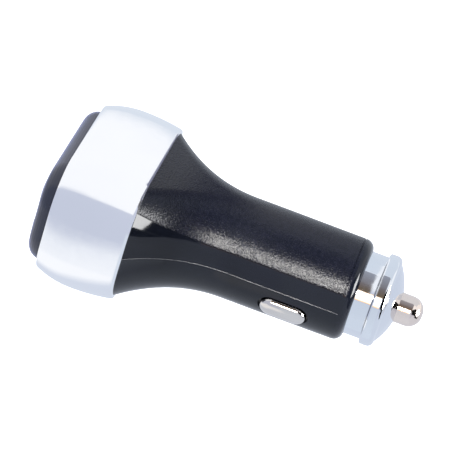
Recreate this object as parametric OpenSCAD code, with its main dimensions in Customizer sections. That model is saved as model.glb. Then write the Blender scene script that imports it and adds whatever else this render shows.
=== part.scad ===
// Car USB charger: a plug for a car's power socket, with two USB sockets in its head.
// +X runs along the plug towards its centre pin, and +Z is the grained upper side.
// The origin is on the plug's axis, at the middle of the plain stretch of the barrel.

/* [Plug barrel] */
// Outside diameter of the plug barrel
plug_d = 20.8; // [20.4:0.1:21.2]
// Wall of the barrel round the circuit board
barrel_wall = 1.6; // [1.4:0.1:1.8]
// Plain stretch between the flare and the contact slots
plain_len = 6.4; // [6:0.2:10]
// From the contact slots to the barrel's end
nose_len = 7.1; // [6.8:0.1:9]
// Rounded edge at the barrel's end
barrel_edge_r = 1.9; // [1:0.1:2]
// How much the barrel's radius tapers from the plain stretch to its end
barrel_taper = 0.08; // [0.04:0.02:0.14]

/* [Head] */
// Width of the housing where it meets the band
head_w = 38; // [37:0.2:41]
// Thickness of the housing where it meets the band
head_h = 24.4; // [23.6:0.2:26]
// Corner radius of the head's section
head_r = 8.6; // [8:0.1:9.4]
// Length of the flare from the barrel to the band
flare_len = 19.6; // [17:0.2:24]
// How sharply the flare opens towards the head
flare_power = 2.2; // [1.8:0.05:2.4]
// Wall of the sleeve that the band sits on
head_wall = 1.1; // [1:0.05:1.3]

/* [Upper side] */
// Angle of the grained area's edge above the side line, on the barrel
edge_angle_barrel = 23.5; // [20:0.5:28]
// The same angle on the head's corner
edge_angle_head = 43.5; // [38:0.5:50]
// Half width and depth of the fine groove round the grained area
groove = 0.14; // [0.1:0.01:0.2]

/* [Trim band] */
// Length of the band along the head
band_len = 16; // [15:0.2:18]
// How far the band is let into the housing
band_seat = 1.3; // [1.1:0.05:1.5]
// How far the band's crown stands over the housing
band_crown = 1.6; // [1.2:0.1:2]
// How far the band's rear edge stands over the housing
band_rear = 0.8; // [0.5:0.05:1]
// From the band's front edge to its crown
crown_from_front = 7.6; // [6.6:0.1:8.4]

/* [Face panel] */
// How far the face panel's rim stands out of the band
face_proud = 3; // [2.6:0.1:3.4]
// How far the face panel's middle stands over its rim
face_crown = 0.5; // [0.3:0.05:0.7]
// Rounding of the face panel's rim
face_edge_r = 3; // [2:0.1:3.3]
// Gap round the face panel
face_gap = 0.12; // [0.1:0.01:0.2]
// Depth of the skirt that snaps into the head
skirt_len = 4.8; // [4.4:0.1:5]
// Wall of the skirt
skirt_wall = 1; // [0.9:0.05:1.1]

/* [USB sockets] */
// Room between a socket's shell and the skirt beside it
socket_side = 0.5; // [0.4:0.05:0.6]
// Width of a socket's metal shell
usb_w = 13.1; // [12.9:0.1:13.3]
// Height of a socket's metal shell
usb_h = 5.7; // [5.6:0.1:5.8]
// Length of a socket's metal shell
usb_len = 14; // [13.6:0.1:14.4]
// Sheet thickness of the shell
usb_sheet = 0.3; // [0.25:0.05:0.35]
// Face panel material in front of a shell
port_lip = 0.9; // [0.7:0.1:1.2]
// Length of the tongue inside a socket
tongue_len = 8.9; // [8.6:0.1:9]
// Thickness of the tongue
tongue_t = 1.84; // [1.8:0.02:1.9]

/* [Circuit board] */
// Thickness of the board
board_t = 1.2; // [1:0.1:1.6]
// Room between the board's edge in the head and the skirt beside it
board_side = 0.1; // [0.1:0.05:0.3]
// Width of the board in the barrel
board_barrel_w = 14.4; // [13.6:0.2:14.6]

/* [End cap and pin] */
// Diameter of the cap's neck outside the barrel
neck_d = 16.9; // [16.4:0.1:17.2]
// Length of the neck
neck_len = 3.4; // [3:0.1:4.2]
// Diameter of the cap's flange
flange_d = 18.6; // [18.2:0.1:19.2]
// Thickness of the flange at its rim
flange_t = 2.8; // [2.4:0.1:3.2]
// Height of the dome over the flange
dome_h = 2.5; // [2.2:0.1:2.8]
// Diameter of the centre pin
pin_d = 6.1; // [5.8:0.1:6.4]
// How far the pin stands out of the dome
pin_out = 4.6; // [4.4:0.1:5.2]
// How far the pin can be pressed in
pin_travel = 2.5; // [2:0.1:2.8]
// Wire of the pin's spring
pin_wire_d = 0.6; // [0.5:0.05:0.7]

/* [Side contacts] */
// Length of a contact's slot in the barrel
slot_len = 10.3; // [10:0.1:11]
// Width of the slot
slot_w = 5; // [4.8:0.1:5.2]
// Angle of the slots below the side line
contact_angle = 24; // [21:1:27]
// How far a contact stands out of the barrel
contact_out = 1.2; // [0.9:0.1:1.2]
// How far a contact can be pressed in
contact_travel = 1.3; // [1.3:0.05:1.35]

/* [Hidden] */
$fn = 96;

LEFT = 1;
RIGHT = -1;
eps = 0.01;

// Clearances
fit = 0.05;
solder_gap = 0.04;
running = 0.08;
side_play = 0.25;

// Finishes
shell_black = [0.03, 0.03, 0.035];
face_black = [0.02, 0.02, 0.022];
band_silver = [0.86, 0.88, 0.92];
chrome = [0.8, 0.83, 0.88];
nickel = [0.72, 0.68, 0.6];
spring_steel = [0.6, 0.61, 0.62];
board_green = [0.05, 0.32, 0.16];
tin = [0.75, 0.76, 0.77];
ferrite = [0.16, 0.16, 0.17];
copper = [0.72, 0.4, 0.2];
brass = [0.8, 0.66, 0.3];
can_sleeve = [0.08, 0.12, 0.3];
chip_black = [0.09, 0.09, 0.1];
tongue_white = [0.9, 0.9, 0.88];
clear_plastic = [0.85, 0.92, 1, 0.5];

// Stations along X
plug_r = plug_d / 2;
nose_r = plug_r - barrel_taper;
bore_r = plug_r - barrel_wall;
flare_x = -plain_len / 2;
band_rear_x = flare_x - flare_len;
band_front_x = band_rear_x - band_len;
slot_gap = 0.5;
slot_x = plain_len / 2 + slot_gap + slot_len / 2;
barrel_end_x = slot_x + slot_len / 2 + nose_len;
flange_back_x = barrel_end_x + neck_len;
flange_front_x = flange_back_x + flange_t;
dome_x = flange_front_x + dome_h;
pin_tip_x = dome_x + pin_out;

// The head's section, as half sizes
head_a = head_w / 2;
head_b = head_h / 2;
seat_a = head_a - band_seat;
seat_b = head_b - band_seat;
seat_r = head_r - band_seat;
cavity_a = seat_a - head_wall;
cavity_b = seat_b - head_wall;
cavity_r = seat_r - head_wall;

// The mouth lies a little inside the band, whose front lip frames the face panel
mouth_depth = 0.6;
mouth_x = band_front_x + mouth_depth;
face_rim_x = band_front_x - face_proud;
face_front_x = face_rim_x - face_crown;

// The inside of the skirt, whose width gives the sockets and the board their places
skirt_a = cavity_a - fit - skirt_wall;
skirt_b = cavity_b - fit - skirt_wall;
skirt_r = cavity_r - fit - skirt_wall;
usb_pitch = 2 * (skirt_a - socket_side) - usb_w;
board_a = skirt_a - board_side;

// The board lies on the sockets' shells, on the grained side
board_z = usb_h / 2;
board_top_z = board_z + board_t;
usb_front_x = face_front_x + port_lip;
usb_rear_x = usb_front_x + usb_len;

// A guide rail of the board
rail_t = 0.9;
rail_w = 1.4;

// The cap's stem inside the barrel
stem_len = 5.2;
stem_wall = 2.4;
thread_r = bore_r - 0.85;
stem_x = barrel_end_x - stem_len;
stem_r = thread_r - fit;
chamber_r = stem_r - stem_wall;
dome_wall = 2.3;
pin_r = pin_d / 2;
collar_r = chamber_r - running;
collar_t = 1.4;
collar_front_x = dome_x - dome_wall - fit;
collar_back_x = collar_front_x - collar_t;
terminal_t = 0.6;
terminal_front_x = stem_x + 0.7;
tab_len = 2.2;

// A contact's flange lies in a flat pocket of the barrel's inner wall
pocket_floor = bore_r + 0.1;
flange_out = 0.55;
contact_flange_t = 0.5;
contact_len = slot_len - 2 * side_play - 0.4;
contact_w = slot_w - 2 * side_play;
contact_flange_top = pocket_floor - fit;
contact_flange_low = contact_flange_top - contact_flange_t;
contact_top = plug_r + contact_out;
leaf_t = 0.35;
leaf_w = 3.6;

function blend(p, q, t) = p + (q - p) * t;
function arc(cx, cy, r, from, to, n) =
    [for (i = [0:n]) [cx + r * cos(blend(from, to, i / n)), cy + r * sin(blend(from, to, i / n))]];

// Draws in a plane of [y, z] and extrudes along X
module along_x(x = 0) {
    translate([x, 0, 0]) rotate([90, 0, 90]) children();
}

module box(x, y, z) {
    translate([x[0], y[0], z[0]]) cube([x[1] - x[0], y[1] - y[0], z[1] - z[0]]);
}

// A rounded rectangle from its half sizes and corner radius
module rounded_rect(a, b, r) {
    square([2 * a, 2 * (b - r)], center = true);
    square([2 * (a - r), 2 * b], center = true);
    for (y = [-1, 1], z = [-1, 1])
        translate([y * (a - r), z * (b - r)]) circle(r = r);
}

// Carries a profile round a rounded rectangle: x is the profile's offset outwards
// from the corner's centre line, and its y runs along the object's X
module round_sweep(a, b, r) {
    straight_a = a - r;
    straight_b = b - r;
    along_x() for (q = [0:3]) {
        side = q % 2 == 0 ? [straight_a, straight_b] : [straight_b, straight_a];
        rotate([0, 0, 90 * q]) translate([side[0], side[1], 0]) rotate_extrude(angle = 90)
            children();
        rotate([0, 0, 90 * q]) translate([side[0], side[1], 0]) rotate([90, 0, 0])
            linear_extrude(2 * side[1]) children();
    }
}

// Main housing

ring_steps = 10;
edge_low_steps = 4;
edge_high_steps = 8;

// How far the flare has opened at a share v of its length
function opened(v) = pow(v, flare_power);

// Angles and depths of a lower and an upper corner, each from the side to the top or bottom
function plain_corner() =
    [for (i = [0:ring_steps - 1]) [90 * (i + 0.5) / ring_steps, 0]];
function grooved_corner(edge, half) = concat(
    [for (i = [0:edge_low_steps - 1]) [(edge - half) * (i + 0.5) / edge_low_steps, 0]],
    [[edge - half, 0], [edge, groove], [edge + half, 0]],
    [for (i = [0:edge_high_steps - 1])
        [blend(edge + half, 90, (i + 0.5) / edge_high_steps), 0]]);
function reversed(list) = [for (i = [len(list) - 1:-1:0]) list[i]];

// One corner's points: y and z are the corner's signs
function corner(a, b, r, y, z, steps) = [for (s = steps)
    [y * (a - r + (r - s[1]) * cos(s[0])), z * (b - r + (r - s[1]) * sin(s[0]))]];
function outer_ring(a, b, r, edge) =
    let (half = groove / r * 180 / PI, upper = grooved_corner(edge, half), lower = plain_corner())
    concat(corner(a, b, r, 1, 1, upper), corner(a, b, r, -1, 1, reversed(upper)),
        corner(a, b, r, -1, -1, lower), corner(a, b, r, 1, -1, reversed(lower)));
function inner_ring(a, b, r) =
    let (steps = plain_corner())
    concat(corner(a, b, r, 1, 1, steps), corner(a, b, r, -1, 1, reversed(steps)),
        corner(a, b, r, -1, -1, steps), corner(a, b, r, 1, -1, reversed(steps)));

// A solid through rings of [y, z] points, each at its own x
module loft(rings, xs) {
    n = len(rings[0]);
    last = len(rings) - 1;
    points = concat([for (k = [0:last], p = rings[k]) [xs[k], p[0], p[1]]],
        [[xs[0], 0, 0], [xs[last], 0, 0]]);
    low = (last + 1) * n;
    sides = [for (k = [0:last - 1], i = [0:n - 1])
        let (j = (i + 1) % n, p = k * n + i, q = k * n + j, s = p + n, t = q + n)
        each [[p, t, q], [p, s, t]]];
    ends = [for (i = [0:n - 1])
        let (j = (i + 1) % n)
        each [[low, i, j], [low + 1, last * n + j, last * n + i]]];
    polyhedron(points, concat(sides, ends));
}

flare_steps = 13;
cavity_steps = 9;
// The small step inside the housing where the flare's cavity meets the head's
ledge = 0.3;
// The polygons at the flare's thin end clear the round barrel and bore inside them
widest_step = max(90 / ring_steps, (90 - edge_angle_barrel) / edge_high_steps);
flare_start_r = plug_r / cos(widest_step / 2) + 0.02;
cavity_start_r = bore_r / cos(45 / ring_steps) + 0.02;

function flare_ring(v) = outer_ring(blend(flare_start_r, head_a, opened(v)),
    blend(flare_start_r, head_b, opened(v)), blend(flare_start_r, head_r, opened(v)),
    blend(edge_angle_barrel, edge_angle_head, v * v * v));
// Half width, half height and corner radius of the flare's cavity
function cavity_size(v) = [for (size = [cavity_a, cavity_b, cavity_r])
    blend(cavity_start_r, size - ledge, opened(v))];
function cavity_ring(v) = let (size = cavity_size(v)) inner_ring(size[0], size[1], size[2]);

module flare() {
    loft([for (k = [flare_steps:-1:0]) flare_ring(k / flare_steps)],
        [for (k = [flare_steps:-1:0]) blend(flare_x, band_rear_x, k / flare_steps)]);
}

module flare_cavity() {
    loft([for (k = [cavity_steps:-1:0]) cavity_ring(k / cavity_steps)],
        [for (k = [cavity_steps:-1:0]) blend(flare_x, band_rear_x, k / cavity_steps)]);
}

// The plain stretch is a true cylinder, and the rest tapers a little to its rounded edge
module barrel() {
    overlap = 1;
    edge_x = barrel_end_x - barrel_edge_r;
    along_x() rotate_extrude() polygon(concat(
        [[0, flare_x - overlap], [plug_r, flare_x - overlap], [plug_r, plain_len / 2]],
        arc(nose_r - barrel_edge_r, edge_x, barrel_edge_r, 0, 90, 9),
        [[0, barrel_end_x]]));
}

// The straight part of the groove round the grained area
groove_end_x = barrel_end_x - barrel_edge_r - groove;
module barrel_groove(side) {
    taper_len = barrel_end_x - barrel_edge_r - plain_len / 2;
    section = [-groove, groove] / sqrt(2);
    rotate([-side * (90 - edge_angle_barrel), 0, 0]) {
        translate([0, 0, plug_r]) rotate([45, 0, 0])
            box([flare_x - eps, plain_len / 2 + eps], section, section);
        translate([plain_len / 2, 0, plug_r]) rotate([0, atan(barrel_taper / taper_len), 0])
            rotate([45, 0, 0]) box([0, groove_end_x - plain_len / 2 + groove / 2], section, section);
    }
}

// Its last part, across the upper side just before the barrel's rounded edge
module end_groove() {
    past = groove / 2 / nose_r * 180 / PI;
    from = edge_angle_barrel - past;
    along_x() rotate([0, 0, from]) rotate_extrude(angle = 180 - 2 * from)
        translate([nose_r, groove_end_x]) rotate(45) square(groove * sqrt(2), center = true);
}

// Places children, drawn with +Z outwards, at a side contact
module at_contact(side) {
    rotate([-side * (90 + contact_angle), 0, 0]) translate([slot_x, 0, 0]) children();
}

module stadium(length, width) {
    square([length - width, width], center = true);
    for (x = [-1, 1]) translate([x * (length - width) / 2, 0]) circle(d = width);
}

pocket_play = 0.3;
module contact_cuts(side) {
    at_contact(side) {
        linear_extrude(plug_r + 1) stadium(slot_len, slot_w);
        linear_extrude(pocket_floor)
            stadium(contact_len + 2 * (flange_out + pocket_play), contact_w + 2 * (flange_out + pocket_play));
    }
}

// A small bridge inside the barrel that holds the fixed end of a contact's leaf spring
keeper_x = [-1.6, 1.6];
keeper_t = 0.8;
leaf_seat = sqrt(bore_r * bore_r - leaf_w * leaf_w / 4) - fit;
module leaf_keeper(side) {
    inner = leaf_seat - leaf_t - fit;
    half = leaf_w / 2 + fit;
    rotate([-side * (90 + contact_angle), 0, 0]) difference() {
        box(keeper_x, [-half - keeper_t, half + keeper_t], [inner - keeper_t, bore_r + 0.3]);
        box([keeper_x[0] - 1, keeper_x[1] + 1], [-half, half], [inner, bore_r + 1]);
    }
}

barrel_rail_x = [1, 13];
head_rail_end = 1;
module board_rails() {
    head_rail_x = [mouth_x + skirt_len + 0.6, band_rear_x - head_rail_end];
    barrel_edge = board_barrel_w / 2;
    for (side = [LEFT, RIGHT], z = [board_z - fit - rail_t, board_top_z + fit]) {
        far = [barrel_edge - rail_w / 2, sqrt(bore_r * bore_r - pow(max(abs(z), abs(z + rail_t)), 2)) + 0.5];
        box(barrel_rail_x, side > 0 ? far : [-far[1], -far[0]], [z, z + rail_t]);
        near = [max(board_a - rail_w / 2, usb_pitch / 2 + usb_w / 2 + running), cavity_a + 0.4];
        box(head_rail_x, side > 0 ? near : [-near[1], -near[0]], [z, z + rail_t]);
    }
}

hook_y = 10;
hook_w = 4.6;
hook_h = 0.55;
hook_len = 1.4;
module snap_pockets() {
    x = mouth_x + skirt_len;
    for (y = [-hook_y, hook_y], z = [1, -1])
        box([x - hook_len - 0.5, x + 0.1], [y - hook_w / 2 - 0.2, y + hook_w / 2 + 0.2],
            z > 0 ? [cavity_b - 1, cavity_b + hook_h + 0.15] : [-cavity_b - hook_h - 0.15, -cavity_b + 1]);
}

module main_housing() {
    color(shell_black) union() {
        difference() {
            union() {
                barrel();
                flare();
                along_x(mouth_x) linear_extrude(band_rear_x - mouth_x + 1)
                    rounded_rect(seat_a, seat_b, seat_r);
            }
            flare_cavity();
            along_x(mouth_x - 1) linear_extrude(band_rear_x - mouth_x + 1 + eps)
                rounded_rect(cavity_a, cavity_b, cavity_r);
            along_x(flare_x - 1) cylinder(r = bore_r, h = stem_x - fit - flare_x + 1);
            along_x(stem_x - 1) cylinder(r = thread_r, h = stem_len + 2);
            for (side = [LEFT, RIGHT]) {
                contact_cuts(side);
                barrel_groove(side);
            }
            end_groove();
            snap_pockets();
        }
        board_rails();
        for (side = [LEFT, RIGHT]) leaf_keeper(side);
    }
}

// Trim band

// The radius of an arc that falls by drop over a length
function arc_radius(length, drop) = (length * length + drop * drop) / (2 * drop);

module band_profile() {
    top = head_r + band_crown;
    front_r = arc_radius(crown_from_front, band_crown);
    rear_len = band_len - crown_from_front;
    rear_r = arc_radius(rear_len, band_crown - band_rear);
    crown_x = band_front_x + crown_from_front;
    inner = seat_r + fit;
    intersection() {
        translate([inner, band_front_x]) square([top - inner + 1, crown_from_front]);
        translate([top - front_r, crown_x]) circle(r = front_r);
    }
    intersection() {
        translate([inner, crown_x]) square([top - inner + 1, rear_len - fit]);
        translate([top - rear_r, crown_x]) circle(r = rear_r);
    }
}

module trim_band() {
    color(band_silver) round_sweep(head_a, head_b, head_r) band_profile();
}

// Face panel

face_a = seat_a - face_gap;
face_b = seat_b - face_gap;
face_r = seat_r - face_gap;
led_z = board_top_z + 1.3;
guide_r = 1.2;
guide_hole_r = guide_r + fit;
port_w = usb_w - 2 * usb_sheet + 0.2;
port_h = usb_h - 2 * usb_sheet + 0.2;

// From the rim's rounding up to the crown, drawn as offset and x
module face_profile() {
    inner = 0.4;
    polygon(concat([[inner, mouth_x], [face_r, mouth_x]],
        [for (p = arc(face_r - face_edge_r, -face_rim_x - face_edge_r, face_edge_r, 0, 84, 7)) [p[0], -p[1]]],
        [[blend(inner, face_r - face_edge_r, 0.45), -blend(-face_rim_x, -face_front_x, 0.8)],
            [inner, face_front_x]]));
}

module face_core() {
    inset = face_r - 0.4;
    along_x(face_front_x) linear_extrude(mouth_x - face_front_x)
        rounded_rect(face_a - inset, face_b - inset, 0.4);
}

// The skirt starts a little way inside the panel's body
skirt_root = 0.5;
module skirt() {
    difference() {
        union() {
            along_x(mouth_x - skirt_root) linear_extrude(skirt_len + skirt_root)
                rounded_rect(cavity_a - fit, cavity_b - fit, cavity_r - fit);
            for (y = [-hook_y, hook_y], z = [1, -1]) hook(y, z);
        }
        along_x(mouth_x - 1) linear_extrude(skirt_len + 2)
            rounded_rect(skirt_a, skirt_b, skirt_r);
    }
}

// A snap hook: a ramp on the skirt that springs into the housing's pocket
module hook(y, z) {
    x = mouth_x + skirt_len;
    base = cavity_b - fit - skirt_wall / 2;
    translate([0, y + hook_w / 2, 0]) rotate([90, 0, 0]) linear_extrude(hook_w)
        polygon([[x - hook_len, z * base], [x - hook_len, z * (cavity_b + hook_h)],
            [x - hook_len + 0.4, z * (cavity_b + hook_h)], [x, z * (cavity_b - fit)], [x, z * base]]);
}

module port_cut(y) {
    translate([0, y, 0]) {
        along_x(face_front_x - 1) linear_extrude(4) rounded_rect(port_w / 2, port_h / 2, 0.6);
        along_x(usb_front_x - fit) linear_extrude(4)
            rounded_rect(usb_w / 2 + fit, usb_h / 2 + fit, 0.6);
    }
}

module face_panel() {
    color(face_black) difference() {
        union() {
            round_sweep(face_a, face_b, face_r) face_profile();
            face_core();
            skirt();
        }
        for (side = [LEFT, RIGHT]) port_cut(side * usb_pitch / 2);
        translate([0, 0, led_z]) along_x(face_front_x - 1) cylinder(r = guide_hole_r, h = 6);
    }
}

// Light guide and its lamp

led_size = [0.8, 1.6, 0.7];
led_x = mouth_x + 2;
module light_guide() {
    front = face_front_x + 0.15;
    flange_r = guide_r + 0.5;
    color(clear_plastic) translate([0, 0, led_z]) along_x() difference() {
        union() {
            translate([0, 0, front]) cylinder(r = guide_r, h = led_x - solder_gap - front);
            translate([0, 0, mouth_x + fit]) cylinder(r = flange_r, h = 0.6);
        }
        translate([-2, -2 * flange_r - (led_z - board_top_z) + solder_gap, mouth_x])
            cube([4, 2 * flange_r, 4]);
    }
}

module status_led() {
    color("white") box([led_x, led_x + led_size[0]], [-led_size[1] / 2, led_size[1] / 2],
        [board_top_z, board_top_z + led_size[2]]);
}

// Circuit board

leg_x = usb_rear_x - 5;
leg_w = 1.2;
board_front_x = mouth_x + 0.3;
board_nose_x = stem_x - 0.3;
board_corner = 1.5;

// The board follows the flare's cavity at the height of its upper face
board_flare_gap = 0.4;
function cavity_half(v) = let (size = cavity_size(v), dz = max(0, board_top_z - size[1] + size[2]))
    size[0] - size[2] + sqrt(size[2] * size[2] - dz * dz);
function board_half(v) = min(board_a, max(board_barrel_w / 2, cavity_half(v) - board_flare_gap));
module board_outline() {
    b = board_barrel_w / 2;
    edge = concat([[board_front_x, board_a - board_corner], [board_front_x + board_corner, board_a]],
        [for (v = [1:-0.1:0.1]) [blend(flare_x, band_rear_x, v), board_half(v)]],
        [[flare_x, b], [board_nose_x - board_corner, b], [board_nose_x, b - board_corner]]);
    polygon(concat(edge, [for (p = reversed(edge)) [p[0], -p[1]]]));
}

module circuit_board() {
    color(board_green) translate([0, 0, board_z]) linear_extrude(board_t) difference() {
        board_outline();
        for (port = [LEFT, RIGHT], side = [LEFT, RIGHT])
            translate([leg_x, port * usb_pitch / 2 + side * (usb_w - usb_sheet) / 2])
                square([leg_w + 0.3, usb_sheet + 0.3], center = true);
    }
}

// USB sockets

window = [5, 2.4];
window_y = 3.2;
finger_drop = 0.35;
module usb_shell(side) {
    y0 = side * usb_pitch / 2;
    a = usb_w / 2;
    b = usb_h / 2;
    window_x = usb_front_x + 3;
    color(tin) translate([0, y0, 0]) union() {
        difference() {
            along_x(usb_front_x) linear_extrude(usb_len) rounded_rect(a, b, 0.6);
            along_x(usb_front_x - 1) linear_extrude(usb_len + 2)
                rounded_rect(a - usb_sheet, b - usb_sheet, 0.4);
            for (y = [-window_y, window_y])
                box([window_x, window_x + window[0]], [y - window[1] / 2, y + window[1] / 2], [-b - 1, b + 1]);
        }
        for (y = [-window_y, window_y], z = [1, -1]) finger(window_x, y, z);
        for (y = [-a, a - usb_sheet])
            box([leg_x - leg_w / 2, leg_x + leg_w / 2], [y, y + usb_sheet], [b - 0.7, board_top_z + 0.6]);
    }
}

// A spring finger, joined to the rear edge of its window and bent into the socket
module finger(x, y, z) {
    outer = usb_h / 2;
    length = window[0] - 0.4;
    width = window[1] - 0.6;
    translate([x + window[0], y + width / 2, 0]) rotate([90, 0, 0]) linear_extrude(width)
        polygon([[0.1, z * outer], [0, z * outer], [-length, z * (outer - finger_drop)],
            [-length, z * (outer - finger_drop - usb_sheet)], [0, z * (outer - usb_sheet)], [0.1, z * (outer - usb_sheet)]]);
}

contact_y = [-3.5, -1, 1, 3.5];
usb_contact = [1, 0.25];
tongue_w = 11.1;
block_len = 4;
tongue_x = usb_rear_x - block_len;
module usb_tongue(side) {
    a = usb_w / 2 - usb_sheet - fit;
    b = usb_h / 2 - usb_sheet - fit;
    color(tongue_white) translate([0, side * usb_pitch / 2, 0]) difference() {
        union() {
            along_x(tongue_x) linear_extrude(block_len) rounded_rect(a, b, 0.4);
            box([tongue_x - tongue_len, tongue_x + 1], [-tongue_w / 2, tongue_w / 2], [-tongue_t, 0]);
        }
        for (y = contact_y)
            box([tongue_x - tongue_len + 0.8, usb_rear_x + 1],
                [y - usb_contact[0] / 2 - fit, y + usb_contact[0] / 2 + fit], [-0.15, usb_contact[1]]);
    }
}

module usb_contacts(side) {
    low = -0.15 + solder_gap;
    high = low + usb_contact[1];
    tail = usb_rear_x + 0.15;
    color(brass) for (y = contact_y)
        translate([0, side * usb_pitch / 2 + y + usb_contact[0] / 2, 0]) rotate([90, 0, 0])
            linear_extrude(usb_contact[0])
            polygon([[tongue_x - tongue_len + 0.9, low], [tail + usb_contact[1], low],
                [tail + usb_contact[1], board_z], [tail, board_z], [tail, high],
                [tongue_x - tongue_len + 0.9, high]]);
}

// Parts on the board

// A moulded package with bent legs along two sides
module package(x, body, legs, pitch, leg_width) {
    lift = 0.15;
    sheet = 0.2;
    reach = 1;
    half = body[1] / 2;
    translate([x, 0, board_top_z]) {
        box([-body[0] / 2, body[0] / 2], [-half, half], [lift, lift + body[2]]);
        for (i = [0:legs - 1], side = [LEFT, RIGHT]) {
            lx = (i - (legs - 1) / 2) * pitch;
            top = lift + body[2] / 2;
            translate([lx - leg_width / 2, 0, 0]) rotate([90, 0, 90]) linear_extrude(leg_width)
                polygon([[side * (half - 0.1), top], [side * (half + reach / 2), top],
                    [side * (half + reach / 2), sheet], [side * (half + reach), sheet],
                    [side * (half + reach), 0], [side * (half + reach / 2 - sheet), 0],
                    [side * (half + reach / 2 - sheet), top - sheet], [side * (half - 0.1), top - sheet]]);
        }
    }
}

chip_body = [4.9, 3.9, 1.5];
chip_legs = 4;
chip_pitch = 1.27;
chip_leg_w = 0.42;
chip_to_diode = 8.5;
diode_body = [2.6, 4.3, 2];
diode_leg_w = 1.4;
diode_to_barrel = 2.5;
fuse_size = [3.2, 1.6, 0.9];
fuse_to_plain = 3;
diode_x = flare_x - diode_to_barrel;
chip_x = diode_x - chip_to_diode;
fuse_x = plain_len / 2 + fuse_to_plain;
module controller_chip() {
    color(chip_black) package(chip_x, chip_body, chip_legs, chip_pitch, chip_leg_w);
}

module rectifier_diode() {
    color(chip_black) package(diode_x, diode_body, 1, 1, diode_leg_w);
}

module board_fuse() {
    color("white") box([fuse_x - fuse_size[0] / 2, fuse_x + fuse_size[0] / 2],
        [-fuse_size[1] / 2, fuse_size[1] / 2], [board_top_z, board_top_z + fuse_size[2]]);
}

// The coil and both capacitors hang from the board's lower side
coil_x = flare_x - 6.5;
coil_r = 4.2;
coil_h = 6;
coil_core_r = 2;
coil_flange = 0.9;
module inductor_core() {
    color(ferrite) translate([coil_x, 0, board_z - coil_h]) union() {
        cylinder(r = coil_r, h = coil_flange);
        cylinder(r = coil_core_r, h = coil_h);
        translate([0, 0, coil_h - coil_flange]) cylinder(r = coil_r, h = coil_flange);
    }
}

module inductor_winding() {
    color(copper) translate([coil_x, 0, board_z - coil_h + coil_flange + solder_gap])
        difference() {
            cylinder(r = coil_r - 0.3, h = coil_h - 2 * coil_flange - 2 * solder_gap);
            translate([0, 0, -1]) cylinder(r = coil_core_r + solder_gap, h = coil_h);
        }
}

// A lying can with its rolled groove, and two leads that turn up to the board
cap_r = 3.15;
module capacitor(length) {
    lead_r = 0.3;
    z = -cap_r - 0.15;
    color(can_sleeve) union() {
        translate([0, 0, z]) along_x() rotate_extrude()
            polygon([[0, 0], [cap_r - 0.4, 0], [cap_r, 0.4], [cap_r, length - 2.2],
                [cap_r - 0.45, length - 1.8], [cap_r, length - 1.4], [cap_r, length - 0.4],
                [cap_r - 0.4, length], [0, length]]);
        for (y = [-1.25, 1.25]) {
            translate([-1, y, z]) along_x() cylinder(r = lead_r, h = 1.3);
            translate([-1, y, z - lead_r]) cylinder(r = lead_r, h = -z + lead_r);
        }
    }
}

input_len = 11;
module input_capacitor() {
    translate([board_nose_x - tab_len - 0.3 - input_len, 0, board_z]) capacitor(input_len);
}

output_len = 9.6;
output_gap = 0.85;
output_x = coil_x - coil_r - cap_r - output_gap;
module output_capacitor() {
    translate([output_x, 0.2 - output_len / 2, board_z]) rotate([0, 0, 90]) capacitor(output_len);
}

// Plug end

module end_cap() {
    neck_r = neck_d / 2;
    flange_r = flange_d / 2;
    rim_r = 0.9;
    dome_edge_r = flange_r - rim_r;
    hole_r = pin_r + running;
    dome_r = arc_radius(dome_edge_r, dome_h);
    dome_mid = dome_x - dome_r;
    hole_angle = acos(hole_r / dome_r);
    edge_angle = acos(dome_edge_r / dome_r);
    fillet_r = 0.35;
    back_rim_r = flange_r - neck_r - fillet_r;
    color(chrome) along_x() rotate_extrude() polygon(concat(
        [[chamber_r, stem_x], [stem_r, stem_x], [stem_r, barrel_end_x + fit],
            [neck_r, barrel_end_x + fit], [neck_r, flange_back_x - fillet_r]],
        [for (p = arc(neck_r + fillet_r, flange_back_x - fillet_r, fillet_r, 165, 90, 4)) p],
        arc(flange_r - back_rim_r, flange_back_x + back_rim_r, back_rim_r, -75, 0, 5),
        arc(flange_r - rim_r, flange_front_x - rim_r, rim_r, 0, 74, 6),
        [for (p = arc(0, dome_mid, dome_r, edge_angle, hole_angle, 9)) p],
        [[hole_r, dome_x - dome_wall], [chamber_r, dome_x - dome_wall]]));
}

module centre_pin() {
    tip_r = pin_r - 0.3;
    tail_r = 2;
    color(nickel) along_x() rotate_extrude() polygon(concat(
        [[0, collar_back_x - 2], [tail_r, collar_back_x - 2], [tail_r, collar_back_x],
            [collar_r, collar_back_x], [collar_r, collar_front_x], [pin_r, collar_front_x]],
        [for (p = arc(pin_r - tip_r, pin_tip_x - tip_r, tip_r, 0, 90, 10)) p],
        [[0, pin_tip_x]]));
}

// A wire along a list of points whose tangents are never along X
function unit(v) = v / norm(v);
function tangent(path, i) =
    unit(path[min(i + 1, len(path) - 1)] - path[max(i - 1, 0)]);
module wire(path, r, sides = 8) {
    last = len(path) - 1;
    rings = [for (i = [0:last])
        let (t = tangent(path, i), u = unit(cross(t, [1, 0, 0])), v = cross(t, u))
        [for (k = [0:sides - 1])
            path[i] + r * (cos(360 * k / sides) * u + sin(360 * k / sides) * v)]];
    points = concat([for (ring = rings) each ring], [path[0], path[last]]);
    n = (last + 1) * sides;
    faces = [for (k = [0:last - 1], i = [0:sides - 1])
        let (j = (i + 1) % sides, p = k * sides + i, q = k * sides + j, s = p + sides, t = q + sides)
        each [[p, t, q], [p, s, t]]];
    ends = [for (i = [0:sides - 1])
        let (j = (i + 1) % sides)
        each [[n, i, j], [n + 1, last * sides + j, last * sides + i]]];
    polyhedron(points, concat(faces, ends));
}

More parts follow.
